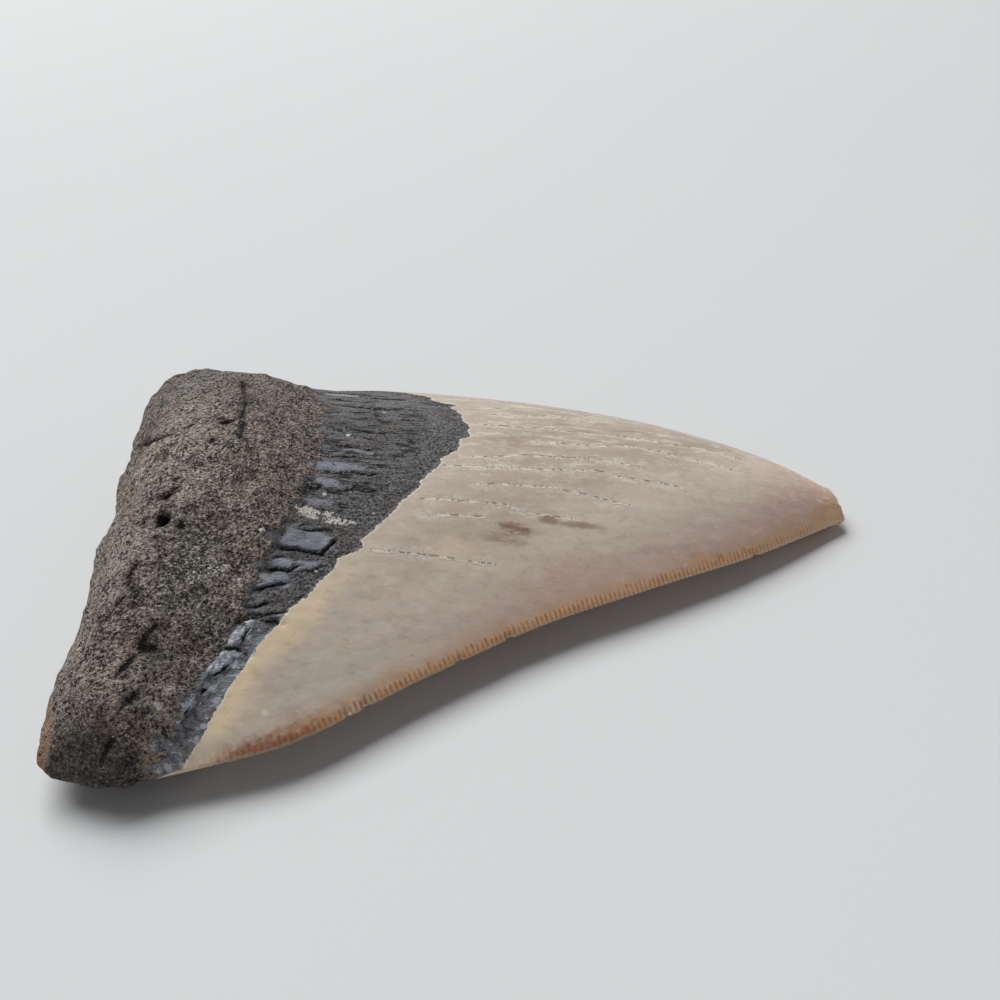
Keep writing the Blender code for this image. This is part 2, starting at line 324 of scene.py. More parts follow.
# The lobes' ends are evened out, where the grid has its corners.
for v, point in zip(skin.verts, points.tolist()):
    v.co = point
lobe_ends = [v for v in skin.verts if v.co.x < SMOOTHED_TO_X and v.co.z > 0.01]
along_all = {"use_axis_x": True, "use_axis_y": True, "use_axis_z": True}
for _ in range(SMOOTHINGS):
    bmesh.ops.smooth_vert(skin, verts=lobe_ends, factor=0.5, **along_all)
skin.normal_update()
points = np.array([v.co[:] for v in skin.verts])
outward = np.array([v.normal[:] for v in skin.verts])

# How far each point lies past the gum line and past the enamel line, towards the tip.
gum_bow, enamel_bow = band_lines(across, lower)
band_width = BAND_AT_CORNER + enamel_bow - gum_bow
root_length = ROOT_LENGTH + gum_bow
crown_length = TIP_X - enamel_bow
from_gum = np.where(row < 1, (row - 1) * root_length, (row - 1) * band_width)
from_gum += CORNER_BAND * hump(across - CORNER_BAND_PLACE, CORNER_BAND_WIDTH) * ~lower
from_enamel = np.where(row < 2, (row - 2) * band_width, (row - 2) * crown_length)


def from_line(places, line):
    """Each place's distance from a line of points, its side of it (1 on the left) and how far along it
    lies, in millimetres."""
    best = np.full(len(places), 1e9)
    left = np.ones(len(places))
    along = np.zeros(len(places))
    passed = 0.0
    line = np.array(line, float)
    for start, end in zip(line, line[1:]):
        step = end - start
        length = np.linalg.norm(step)
        offset = places - start
        share = np.clip(offset @ step / length**2, 0, 1)
        distance = np.linalg.norm(offset - share[:, None] * step, axis=1)
        nearer = distance < best
        best = np.where(nearer, distance, best)
        left = np.where(nearer, np.sign(step[0] * offset[:, 1] - step[1] * offset[:, 0]), left)
        along = np.where(nearer, passed + share * length, along)
        passed += length
    return best, left, along, passed


# ------------------------------------------------------------
# The root's bone. It is coarse and porous, with low lumps, a few holes where blood vessels went in,
# and shallow creases. All of it grew or wore that way, and it is the same solid as the rest.

ROOT_LUMPS = 0.9
LUMP_WAVE = 9.0
GRAIN = 0.6
GRAIN_WAVE = 3.2
FINE_GRAIN = 0.26
FINE_GRAIN_WAVE = 1.4

# Vessel holes on the upper side: X, Y, depth and radius. Their walls stand a little inside the radius.
HOLE_WALL = 0.85
VESSEL_HOLES = (
    (-2.3, 5.7, 2.8, 1.2), (-3.7, 7.5, 0.6, 0.6), (-4.0, 0.6, 0.8, 0.5), (-8.7, -16.7, 2.6, 0.9),
    (-8.8, -12.4, 1.4, 0.65), (-7.9, -8.8, 0.8, 0.5), (-6.1, -17.8, 0.9, 0.5), (-9.1, -35.0, 0.9, 0.65),
    (-8.2, -34.9, 0.7, 0.5), (-12.5, 20.0, 0.7, 0.5), (-16.0, 29.0, 1.1, 0.7),
)

# Creases in the bone, each the points that it runs through, its depth and its half width, and how far
# they narrow and widen on their way.
CREASE_UNEVEN = 0.35
UNEVEN_WAVE = 1.3
BONE_CREASES = (
    (((-19.4, 14.3), (-15.5, 7.9), (-12.8, 4.8), (-10.1, 4.6), (-8.8, 5.4), (-7.6, 7.8)), 0.8, 0.49),
    (((-2.3, 23.7), (-0.8, 13.7), (-0.1, 6.6), (0.3, 3.5), (-0.1, 1.3), (0.7, -0.8)), 0.5, 0.39),
    (((-9.6, -13.4), (-8.8, -12.2), (-8.1, -11.4), (-7, -10.4)), 0.5, 0.42),
    (((-6, -2.4), (-6.4, -4.3), (-7, -6.4)), 0.35, 0.31),
    (((-4.9, -10.8), (-2.8, -10.4)), 0.3, 0.2),
    (((3, -10), (4, -10.2)), 0.3, 0.28),
    (((-9.4, -20.8), (-7.7, -21.3)), 0.3, 0.28),
    (((-8.8, -19.1), (-10.3, -20.2)), 0.4, 0.31),
    (((-7.9, -24.3), (-6.5, -24.9), (-4.9, -25.4)), 0.3, 0.17),
    (((-4.4, -27.3), (-2.9, -27.1)), 0.3, 0.22),
    (((-11, -21.9), (-12.3, -24.3), (-12.2, -27.3)), 0.35, 0.31),
    (((-11.8, -27.4), (-13.5, -28.5), (-14.2, -29.5), (-15.8, -31.2)), 0.45, 0.35),
    (((-7.2, -31.5), (-9, -33), (-10.1, -35.9), (-10.9, -36.8), (-12.5, -38.5), (-13, -39)), 0.5, 0.42),
    (((-9, -39), (-9.6, -40.1), (-11, -41.2), (-11.6, -42.3), (-12, -43)), 0.45, 0.39),
    (((-7.9, -41.1), (-8.9, -41.9), (-9.4, -42.6)), 0.35, 0.28),
    (((-12, -44.2), (-13.1, -44.9), (-13.7, -45.7), (-14.1, -46.1)), 0.5, 0.42),
    (((-20, 30), (-13, 33), (-9, 38)), 0.4, 0.35),
)


def taper_of(along, length, run):
    """1 along a line, and falling to 0 over the last run at both its ends."""
    return np.sqrt(np.clip(np.minimum(along, length - along) / run, 0, 1))


plan = points[:, :2]
upper = side > 0
in_bone = (1 - smooth_step(0.9, 1.15, row)).round(4)
bone = np.flatnonzero(in_bone > 0)
relief = np.zeros(len(points))
lumps = ROOT_LUMPS * noise_at(points[bone], LUMP_WAVE) + GRAIN * noise_at(points[bone], GRAIN_WAVE)
lumps += FINE_GRAIN * noise_at(points[bone], FINE_GRAIN_WAVE, 5)
relief[bone] += in_bone[bone] * lumps
hollow = np.full(len(points), 3.0)
exposed = upper & (points[:, 2] > 6)
for x, y, depth, radius in VESSEL_HOLES:
    distance = np.hypot(plan[:, 0] - x, plan[:, 1] - y)
    hollow = np.where(exposed, np.minimum(hollow, distance - radius), hollow)
    relief -= exposed * depth * np.exp(-((distance / (HOLE_WALL * radius)) ** 4))
uneven = np.zeros(len(points))
uneven[bone] = noise_at(points[bone], UNEVEN_WAVE, 7)
for line, depth, half_width in BONE_CREASES:
    distance, _, along, length = from_line(plan, line)
    distance = distance + CREASE_UNEVEN * (0.6 + uneven)
    taper = taper_of(along, length, 1.5)
    from_wall = distance - half_width * taper + 0.2 * (1 - taper)
    hollow = np.where(exposed, np.minimum(hollow, from_wall), hollow)
    relief -= exposed * depth * taper * hump(distance, half_width + 0.25)


# ------------------------------------------------------------
# The bourlette, the dark band where the gum held the tooth. It is a thin slate-coloured coat that has
# cracked into long flakes, some of them lifted and some gone. It lies a little below its neighbours.

BAND_SUNK = 0.45
CRACK_WANDER = 0.45
WANDER_WAVE = 1.5
CRACK_DEPTH = 0.7
CRACK_HALF_WIDTH = 0.22
LIFT_REACH = 1.1
FLAKE_LIFT = 0.6

# Cracks through the coat: the points each runs through, its depth, and how far its upper side lifts.
BAND_CRACKS = (
    (((14.2, 8.2), (17, 7.6), (19.4, 6.9), (23, 6.3)), 0.35, 0.18),
    (((12.3, 2.2), (16.5, 2.2), (21, 1.4)), 0.4, 0.2),
    (((12.7, -0.7), (16, -0.6), (18.5, -0.9)), 0.35, 0.18),
    (((12, -4.2), (13.2, -4.8), (16, -4.3), (19.3, -4.8), (21, -3.9)), 0.45, 0.3),
    (((9.6, -8.7), (11, -8.9), (13.5, -7.7)), 0.5, 0.3),
    (((12.2, -8.8), (14, -9), (16.4, -8.1), (18.4, -8.4), (21.2, -7.3)), 0.4, 0.2),
    (((8.6, -12.4), (9.8, -12.4), (11, -11.6)), 0.6, 0.35),
    (((9.3, -17), (11, -16.6), (15.3, -15.9)), 0.35, 0.15),
    (((6.2, -20.1), (7.4, -20.5), (10.4, -20.1), (12.5, -19.8), (13.5, -19.1), (15, -17)), 0.6, 0.45),
    (((6, -22.4), (7, -21.8), (8.1, -22.3)), 0.4, 0.25),
    (((4.5, -24.4), (6, -24), (8.2, -23.4), (10.5, -22)), 0.55, 0.35),
    (((9.8, -23.4), (11.2, -22.8), (13, -21.8)), 0.4, 0.2),
    (((3.6, -27.1), (4.9, -26.7), (7.5, -25.5), (8.5, -24.6)), 0.5, 0.35),
    (((2.6, -29.2), (4.7, -28.8), (6.8, -28.2)), 0.5, 0.3),
    (((1.3, -30.9), (4.6, -30.4), (8.2, -30.6)), 0.5, 0.25),
    (((2.3, -30.2), (4, -30), (8.6, -28.9)), 0.4, 0.2),
    (((-0.8, -34.3), (0.5, -33.8), (1.6, -33.8), (2.8, -34.3), (4, -34.8)), 0.55, 0.3),
    (((1.8, -33.9), (2.7, -32.9), (3.6, -31.4)), 0.6, 0.45),
    (((-1.8, -36.5), (-1, -36.8), (-0.2, -36.3), (1.2, -35)), 0.6, 0.45),
    (((-0.8, -37.1), (0.6, -37.6)), 0.4, 0.15),
    (((-3.3, -38.9), (-2.3, -38.2), (-1.5, -37.2)), 0.5, 0.3),
    (((-5.3, -41.7), (-3.9, -40.5), (-3.4, -39.6)), 0.5, 0.35),
    (((11.8, 22.8), (13.5, 21.3), (16, 20.1)), 0.4, 0.25),
    (((16.5, 14.4), (18.5, 14.5)), 0.3, 0.15),
    (((24, 11.9), (27, 11.8)), 0.25, 0.1),
    (((23.8, -6), (25.4, -6)), 0.25, 0.1),
    (((13.5, 17.6), (19, 16.6), (25, 16.4)), 0.35, 0.2),
    (((17, 23.8), (22, 22.8), (26, 22.6)), 0.35, 0.2),
    (((10.5, 28.4), (15, 27.2), (20, 26.6)), 0.4, 0.3),
    (((9, 32.8), (12, 31.6), (16, 31.4)), 0.4, 0.25),
    (((6.5, 37.4), (9, 36), (12.5, 35.6)), 0.45, 0.3),
    (((3, 41.6), (6, 40), (9, 39.8)), 0.4, 0.25),
    (((27, 21.5), (29.7, 20), (31.4, 18.9)), 0.25, 0.05),
)

# Flakes that keep their smooth gloss: middle X and Y, half length, half width, turn, lift and how much
# painted glint they carry.
GLOSSY_FLAKES = (
    (14.9, -3.3, 4.0, 1.0, 0, 0.15, 0.1), (10.2, -18.3, 3.6, 1.5, 4, 0.2, 0.15),
    (2.4, -32.2, 2.1, 0.85, 50, 0.4, 0.9), (-0.3, -35.6, 1.6, 0.85, 44, 0.4, 0.9),
    (-4.6, -40.6, 1.8, 0.65, 48, 0.3, 1.0), (9.2, -22.4, 2.9, 0.8, 12, 0.15, 0.3),
    (6.2, -25.3, 2.4, 0.9, 20, 0.15, 0.3), (13.3, -7.1, 1.6, 0.8, 4, 0.1, 0.1),
    (12.2, -11.2, 1.9, 0.55, 6, 0.12, 0.1), (14, 25.2, 3.2, 0.9, -8, 0.15, 0.1),
    (10, 34, 2.4, 0.9, -14, 0.15, 0.3), (4.4, -33.6, 1.6, 0.8, 50, 0.05, 0.25),
    (1.2, -37.3, 1.6, 0.8, 46, 0.05, 0.2), (17.5, 1.0, 2.4, 0.5, -4, 0.08, 0.0),
)

# White mineral dots on band and bone: X, Y and radius.
WHITE_DOTS = (
    (19.7, 14.3, 0.2), (21.6, 14.8, 0.25), (29.7, 10.6, 0.2), (16, 5.6, 0.4), (12.9, -9.6, 0.3),
    (16.6, -8.7, 0.2), (19.9, -12.2, 0.2), (4.7, -18.8, 0.4), (11.9, -22.6, 0.25), (1.3, -14.6, 0.25),
    (-7.4, -40.8, 0.45), (-18.6, -32.3, 0.3), (1.8, -25.4, 0.45), (2.8, -21.3, 0.3),
)

in_band = smooth_step(0.98, 1.12, row) * (1 - smooth_step(1.955, 1.995, row)) * (1 - across**4)
relief -= BAND_SUNK * in_band * upper
wander = np.column_stack([noise_at(points, WANDER_WAVE, 61), noise_at(points, WANDER_WAVE, 83)])
wandered = plan + wander * CRACK_WANDER
crack = np.full(len(points), 9.0)
for line, depth, lift in BAND_CRACKS:
    distance, left, along, length = from_line(wandered, line)
    taper = taper_of(along, length, 1.2)
    crack = np.where(upper, np.minimum(crack, distance + 0.6 * (1 - taper)), crack)
    relief -= upper * CRACK_DEPTH * depth * taper * hump(distance, CRACK_HALF_WIDTH)
    relief += upper * FLAKE_LIFT * lift * taper * np.exp(-distance / LIFT_REACH) * (left > 0)
gloss = np.zeros(len(points))
# How strongly a painted glint is laid on each glossy flake.
painted_glint = np.zeros(len(points))
ragged = 0.12 * noise_at(points, 0.9, 12)
for x, y, half_length, half_width, turn, lift, pale in GLOSSY_FLAKES:
    dx, dy = wandered[:, 0] - x, wandered[:, 1] - y
    c, s = cos(radians(turn)), sin(radians(turn))
    u = (dx * c + dy * s) / half_length
    v = (dy * c - dx * s) / half_width
    inside = upper * (1 - smooth_step(0.88, 1.08, (u**4 + v**4) ** 0.25 + ragged))
    gloss = np.maximum(gloss, inside)
    painted_glint = np.maximum(painted_glint, pale * inside)
    relief += FLAKE_LIFT * lift * inside

dot = np.full(len(points), 9.0)
for x, y, radius in WHITE_DOTS:
    dot = np.minimum(dot, np.hypot(plan[:, 0] - x, plan[:, 1] - y) / radius + 9.0 * ~upper)


# ------------------------------------------------------------
# The crown's enamel. It is smooth and satin, with long shallow growth lines that run to the tip, and
# both cutting edges carry fine serrations, about thirteen to the centimetre, with a few chips.

SERRATION_PITCH = 0.78
SERRATION_RIDGE = 0.16
SERRATION_LENGTH = 1.5
SERRATION_DEPTH = 0.22
WAVE_HEIGHT = 0.05

# Growth lines: how deep and half how wide they are, and the points that each runs through.
GROWTH_DEPTH = 0.07
GROWTH_HALF_WIDTH = 0.35
GROWTH_LINES = (
    ((36, 17.8), (44, 18.2), (52, 18.6), (62, 16.5)),
    ((38.6, 14.5), (44, 14.6), (50, 15), (56, 14.8), (60, 13.9)),
    (
        (35.7, 10.3), (41.5, 10.2), (48.7, 9.7), (54.8, 8.9), (63.1, 8.5), (68.6, 7.4), (75.1, 7.5),
        (82.3, 5.9),
    ),
    ((36.5, 7.5), (42, 7.4)),
    ((44.3, 5.3), (47.6, 5.6), (54.9, 5.1), (62.2, 5.7), (67, 4.9), (70.9, 3.7), (75.5, 3.2), (81, 2)),
    ((33.3, 0.5), (38.9, 0.9), (42.6, 1.8), (49.6, 1.7), (54.1, 1.7), (59, 1.1), (63.4, 0.3)),
    ((30.5, -1.9), (42.3, -1.5), (51.1, -1.1), (55.6, -1), (58.5, -1.9), (65, -2.4), (69.3, -2.9)),
    ((35.4, -5.4), (39, -4.9), (47.7, -4.8), (50.5, -5.6), (52.9, -5.6), (55.2, -6.3), (60.1, -7)),
    ((26.7, -9.1), (31.2, -8.8), (39.6, -8.6), (42.8, -9.6), (45.1, -9.7), (50.6, -9.9)),
    ((26.5, -12.2), (30.1, -11.6), (36.6, -11.1)),
    ((19, -18.6), (23.5, -18.3), (28.6, -18.1), (34.4, -18.1), (37.5, -17.9)),
    ((32, 23), (44, 24), (56, 21.5), (66, 17)),
    ((24, 30), (36, 31), (46, 28.5)),
)

# Chips in the cutting edges: X, Y, depth and radius.
EDGE_CHIPS = (
    (15.4, -38.9, 0.4, 0.6), (17.9, -37.5, 0.4, 0.7), (38.4, -26.4, 0.4, 0.6), (31, -30.4, 0.4, 0.6),
    (80.2, -9.7, 0.4, 0.5), (48, 38.4, 0.6, 0.8), (70, 28.4, 0.5, 0.6), (12, 47.1, 0.5, 0.8),
    (99.8, 3.4, 0.5, 0.7),
)

edge_rows = np.linspace(1.9, 3, 90)
near = from_line(plan, edge_points(edge_rows, NEAR_LOBE, NEAR_EDGE))
far = from_line(plan, edge_points(edge_rows, FAR_LOBE, FAR_EDGE))
from_edge, _, along_edge, length = (np.where(near[0] < far[0], a, b) for a, b in zip(near, far))
serration = along_edge / SERRATION_PITCH
worn = smooth_step(1.0, 5.0, along_edge) * (1 - smooth_step(length - 9, length - 3, along_edge))
worn *= 0.75 + 0.25 * noise_at(points, 4.0, 17)
ridge = (0.5 + 0.5 * np.cos(2 * pi * serration)) ** 0.8
in_crown = smooth_step(1.98, 2.02, row)
by_edge = 1 - smooth_step(0.3, SERRATION_LENGTH, from_edge)
relief += SERRATION_RIDGE * (ridge - 0.4) * by_edge * worn * in_crown * (side != 0)

streak = np.full(len(points), 9.0)
streak_side = np.full(len(points), 9.0)
for line in GROWTH_LINES:
    distance, left, along, length = from_line(plan, line)
    taper = taper_of(along, length, 3)
    streak_side = np.where(distance < np.abs(streak_side), distance * left, streak_side)
    streak = np.minimum(streak, distance + 0.5 * (1 - taper))
    relief -= GROWTH_DEPTH * in_crown * taper * hump(distance, GROWTH_HALF_WIDTH)
waves = noise_at(points * (0.12, 1, 1), 1.6, 40)
relief += WAVE_HEIGHT * waves * in_crown * (1 - by_edge) * (side != 0)

# Along the rim the flat side's enamel starts sooner, and shows as a thin lip beneath the band.
from_enamel = from_enamel + np.where(side <= 0, BAND_AT_CORNER * smooth_step(0.9, 1, np.abs(across)), 0)

move = outward * relief[:, None]
middle = np.where(across > 0, -1.0, 1.0)
on_rim = (side == 0) & (row > 2)
move[:, 1] += on_rim * middle * SERRATION_DEPTH * (1 - ridge) * worn
for x, y, depth, radius in EDGE_CHIPS:
    distance = np.hypot(plan[:, 0] - x, plan[:, 1] - y)
    move -= outward * (depth * hump(distance, radius))[:, None]
points = points + move
points[:, 2] = np.maximum(points[:, 2], 0)


# ------------------------------------------------------------
# The finished tooth. The skin becomes one mesh in the shared frame, and carries the measures that its
# finish follows: how far a place is from the gum line, the enamel line, a crack and the cutting edge.


def in_scene(name, data):
    """A new object, put in the scene."""
    made = bpy.data.objects.new(name, data)
    bpy.context.scene.collection.objects.link(made)
    return made


for v, point in zip(skin.verts, points.tolist()):
    v.co = Vector((point[0] - MIDDLE_X, point[1] - MIDDLE_Y, point[2])) * MM
for face in skin.faces:
    face.smooth = True
tooth_mesh = bpy.data.meshes.new("fossil_tooth")
skin.to_mesh(tooth_mesh)
skin.free()
measures = {
    "from_gum": from_gum,
    "from_enamel": from_enamel,
    "from_edge": from_edge,
    "serration": serration,
    "worn": worn * in_crown,
    "crack": crack,
    "streak": streak,
    "streak_side": streak_side,
    "hollow": hollow,
    "gloss": gloss,
    "painted_glint": painted_glint,
    "dot": dot,
    "upper": 1.0 * upper,
}
for name, values in measures.items():
    attribute = tooth_mesh.attributes.new(name, "FLOAT", "POINT")
    attribute.data.foreach_set("value", values.astype(np.float32))
tooth = in_scene("fossil_tooth", tooth_mesh)
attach(tooth, "root")
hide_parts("tooth")


# ------------------------------------------------------------
# The tooth's finish, bone, bourlette and enamel, each as a group of nodes that gives its colour,
# roughness and fine relief. The enamel hides the band's end, and the band fades into the bone.


def feed(tree, sockets, values):
    """Sets or links sockets by name or number."""
    for name, value in values.items():
        if isinstance(value, bpy.types.NodeSocket):
            tree.links.new(value, sockets[name])
        else:
            sockets[name].default_value = value


def node(tree, kind, inputs=None, **settings):
    """Adds a node, makes its settings and feeds its inputs."""
    made = tree.nodes.new(kind)
    for name, value in settings.items():
        setattr(made, name, value)
    feed(tree, made.inputs, inputs or {})
    return made


def calc(tree, operation, a, b=0.0, c=0.0):
    values = {0: a, 1: b, 2: c}
    return node(tree, "ShaderNodeMath", values, operation=operation).outputs[0]


def times(tree, *factors):
    product = factors[0]
    for factor in factors[1:]:
        product = calc(tree, "MULTIPLY", product, factor)
    return product


def plus(tree, a, b, share=1.0):
    """a, with a share of b added to it."""
    return calc(tree, "MULTIPLY_ADD", b, share, a)


def rest(tree, value):
    """What the value leaves of 1."""
    return calc(tree, "SUBTRACT", 1.0, value)


def fade(tree, value, low, high):
    """0 where the value is at low, 1 where it is at high, with a smooth turn between."""
    values = {"Value": value, "From Min": low, "From Max": high}
    return node(tree, "ShaderNodeMapRange", values, interpolation_type="SMOOTHSTEP").outputs["Result"]


def largest(tree, *values):
    top = values[0]
    for value in values[1:]:
        top = calc(tree, "MAXIMUM", top, value)
    return top


def paint(tree, under, over, *shares):
    """The colour over laid on the colour under it, as thickly as the product of the shares."""
    under, over = (c if isinstance(c, bpy.types.NodeSocket) else (*c, 1) for c in (under, over))
    values = {0: times(tree, *shares), 6: under, 7: over}
    return node(tree, "ShaderNodeMix", values, data_type="RGBA").outputs[2]


def coats(tree, color, *layers):
    """The layers painted on the colour in turn, each given as its own colour and its shares."""
    for layer in layers:
        color = paint(tree, color, *layer)
    return color


def mix(tree, share, a, b):
    return node(tree, "ShaderNodeMix", {0: share, 2: a, 3: b}).outputs[0]


def stretched(tree, place, x, y=1, z=1):
    return node(tree, "ShaderNodeVectorMath", {0: place, 1: (x, y, z)}, operation="MULTIPLY").outputs[0]


def cloud(tree, place, size, detail=2.0, rough=0.5, bend=0.0):
    """Noise from 0 to 1 with lumps about one size across, in millimetres."""
    values = {"Vector": place, "Scale": 1 / size, "Detail": detail, "Roughness": rough, "Distortion": bend}
    return node(tree, "ShaderNodeTexNoise", values).outputs["Fac"]


def swing(tree, place, size, detail=2.0, rough=0.5):
    """The same noise about 0, from -0.5 to 0.5."""
    return calc(tree, "SUBTRACT", cloud(tree, place, size, detail, rough), 0.5)


def seams(tree, lumps, width):
    """Thin lines along the places where a cloud passes its middle."""
    off = calc(tree, "ABSOLUTE", calc(tree, "SUBTRACT", lumps, 0.5))
    return fade(tree, off, width, width * 0.3)


def measure(tree, name):
    return node(tree, "ShaderNodeAttribute", attribute_name=name).outputs["Fac"]


def new_group(name, inputs, outputs):
    """An empty node group with the named sockets. Each is given as its kind, Vector, Color or Float."""
    tree = bpy.data.node_groups.new(name, "ShaderNodeTree")
    for way, sockets in (("INPUT", inputs), ("OUTPUT", outputs)):
        for label, kind in sockets.items():
            tree.interface.new_socket(label, in_out=way, socket_type="NodeSocket" + kind)
    return tree, node(tree, "NodeGroupInput").outputs, node(tree, "NodeGroupOutput").inputs


# A patch with a wandering outline, for stains, blushes and crusts.
PATCH = {name: "Vector" for name in ("Place", "Middle", "Reach")}
PATCH |= {name: "Float" for name in ("Grain", "Wander", "Soft")}

patch_group, given, wanted = new_group("patch", PATCH, {"Mask": "Float"})
tree = patch_group
offset = node(tree, "ShaderNodeVectorMath", {0: given["Place"], 1: given["Middle"]}, operation="SUBTRACT")
share = node(tree, "ShaderNodeVectorMath", {0: offset.outputs[0], 1: given["Reach"]}, operation="DIVIDE")
far_out = node(tree, "ShaderNodeVectorMath", {0: share.outputs[0]}, operation="LENGTH").outputs["Value"]
scale = calc(tree, "DIVIDE", 1.0, given["Grain"])
wander = node(tree, "ShaderNodeTexNoise", {"Vector": given["Place"], "Scale": scale, "Detail": 3.0})
wander = times(tree, calc(tree, "SUBTRACT", wander.outputs["Fac"], 0.5), given["Wander"])
far_out = plus(tree, far_out, wander)
mask = fade(tree, far_out, plus(tree, 1.0, given["Soft"]), rest(tree, given["Soft"]))
tree.links.new(mask, wanted["Mask"])


def patch(tree, place, middle, reach, grain=4.0, wander=1.2, soft=0.4):
    """The mask of a patch. The grain is the size of the bays in its outline, in millimetres."""
    values = {"Place": place, "Middle": middle, "Reach": reach}
    values |= {"Grain": grain, "Wander": wander, "Soft": soft}
    return node(tree, "ShaderNodeGroup", values, node_tree=patch_group).outputs["Mask"]


def patches(tree, place, spots):
    """Several patches in one mask. Each is given as patch wants it, with its share at the end."""
    return largest(tree, *(times(tree, patch(tree, place, *spot[:-1]), spot[-1]) for spot in spots))


def new_finish(name):
    return new_group(name, {"Place": "Vector"}, {"Color": "Color", "Roughness": "Float", "Height": "Float"})


# The bone: sandy grains with black pits between them, the black partly painted shade. It is grey-brown
# in the main, rusty beside the band, tan over the middle, greenish grey in places, and sooty at the near
# lobe's end. Painted light lifts its left end and, in part, the grey over its far top, and painted shade
# blackens its vessel holes and creases and the floors of its pocks and crevices.
# Near-black painted as shade inside the vessel holes and creases.
HOLE_SHADE = (0.004, 0.003, 0.002)
# Near-black for the lowest pits between grains and the floors of pocks and crevices: the pores' own dark
# colour with painted shade in these recesses.
PIT_BLACK = (0.012, 0.01, 0.009)
BONE_DARK = (0.036, 0.029, 0.027)
BONE_BROWN = (0.188, 0.154, 0.141)
BONE_RUST = (0.2, 0.152, 0.124)
BONE_GREEN = (0.13, 0.124, 0.108)
BONE_LIGHT = (0.62, 0.555, 0.5)
# Tan: the middle's own colour, and also used as painted light on the left end.
BONE_TAN = (0.35, 0.3, 0.25)
BONE_GREY = (0.25, 0.25, 0.225)
# Pale colour painted as light on the root's left end.
BONE_PAINTED_LIGHT = (0.44, 0.4, 0.35)
SOOT = (0.026, 0.025, 0.025)
RAW_BONE = (0.36, 0.225, 0.145)
CORNER_TAN = (0.36, 0.275, 0.2)

bone_group, given, wanted = new_finish("bone_finish")
tree = bone_group
place = given["Place"]
grit = cloud(tree, place, 0.48, 2.0, 0.6)
sand = cloud(tree, place, 0.25, 1.5, 0.6)
clump = swing(tree, place, 1.8)
grain = plus(tree, plus(tree, times(tree, grit, 0.62), sand, 0.38), clump, 0.22)
hue = cloud(tree, place, 5.0, 3.0, 0.55)
tan = patch(tree, place, (-9, 2, 24), (7.5, 15, 9), soft=0.6)
soot = patch(tree, place, (-17.5, -46.5, 5), (8, 6.5, 11), soft=0.5)
middling = coats(
    tree, BONE_BROWN,
    (BONE_RUST, fade(tree, hue, 0.5, 0.64)),
    (BONE_GREEN, fade(tree, hue, 0.45, 0.34)),
    (BONE_RUST, patch(tree, place, (1.5, -12, 22), (6, 15, 9)), 0.6),
    (BONE_GREEN, patch(tree, place, (-4, -24, 20), (4.5, 13, 9)), 0.7),
    # Grey over the far top: partly the bone's own lichen-like grey, partly a painted highlight along that
    # edge.
    (BONE_GREY, patch(tree, place, (-8, 30, 19), (13, 7, 8)), 0.75),
    (BONE_TAN, tan, 0.75),
    # Painted light: a tan strip and a pale spot lighten the bone's left end.
    (BONE_TAN, patch(tree, place, (-20, -20, 15), (6, 26, 9), soft=0.6), 0.5),
    (BONE_PAINTED_LIGHT, patch(tree, place, (-14.5, -22, 20.5), (4.5, 6, 5), 2.0, 1.4), 0.5),
    (BONE_TAN, patch(tree, place, (-10, -40, 13), (5, 5, 6), 3.0), 0.4),
    (SOOT, soot, 0.7),
)
light_grains = times(tree, fade(tree, grain, 0.525, 0.6), rest(tree, times(tree, soot, 0.7)))
raw = patch(tree, place, (-22.6, -40.6, 7), (2.3, 5, 3.8), 2.5, 0.9, 0.25)
corner = patch(tree, place, (-8.3, -45.6, 6.8), (1.1, 1.3, 2.4), 0.9, 1.4, 0.3)
pocks = fade(tree, cloud(tree, place, 1.5, 1.0), 0.33, 0.27)
crevice = seams(tree, cloud(tree, stretched(tree, place, 1, 0.25, 0.6), 4.0, 3.0, 0.6, 0.3), 0.022)
crevice = times(tree, crevice, fade(tree, cloud(tree, place, 7.0, 1.0), 0.5, 0.6))
pock_floor = times(tree, pocks, fade(tree, sand, 0.62, 0.5))
crevice_floor = times(tree, crevice, fade(tree, sand, 0.65, 0.5))
from_hollow = measure(tree, "hollow")
hollow = fade(tree, plus(tree, from_hollow, calc(tree, "SUBTRACT", sand, 0.5), 0.9), 0.2, -0.08)
color = coats(
    tree, BONE_DARK,
    (middling, fade(tree, grain, 0.4, 0.5)),
    (BONE_LIGHT, light_grains, plus(tree, 0.6, tan, 0.25)),
    (RAW_BONE, raw, 0.75),
    (CORNER_TAN, corner, fade(tree, sand, 0.4, 0.5), 0.7),
    # Painted shade, over the pores' own dark colour, in the low pits and on the pock and crevice floors.
    (PIT_BLACK, largest(tree, fade(tree, grain, 0.44, 0.38), pock_floor, crevice_floor), 0.85),
    # Painted shade: darker towards the vessel holes and creases, and near-black inside them.
    (BONE_DARK, fade(tree, from_hollow, 0.9, 0.1), 0.5),
    (HOLE_SHADE, hollow, 0.96),
)
height = plus(tree, times(tree, grit, 0.85), sand, 0.4)
height = plus(tree, plus(tree, plus(tree, height, pocks, -0.35), crevice, -0.3), hollow, -0.5)
feed(tree, wanted, {"Color": color, "Roughness": mix(tree, grain, 0.95, 0.7), "Height": height})

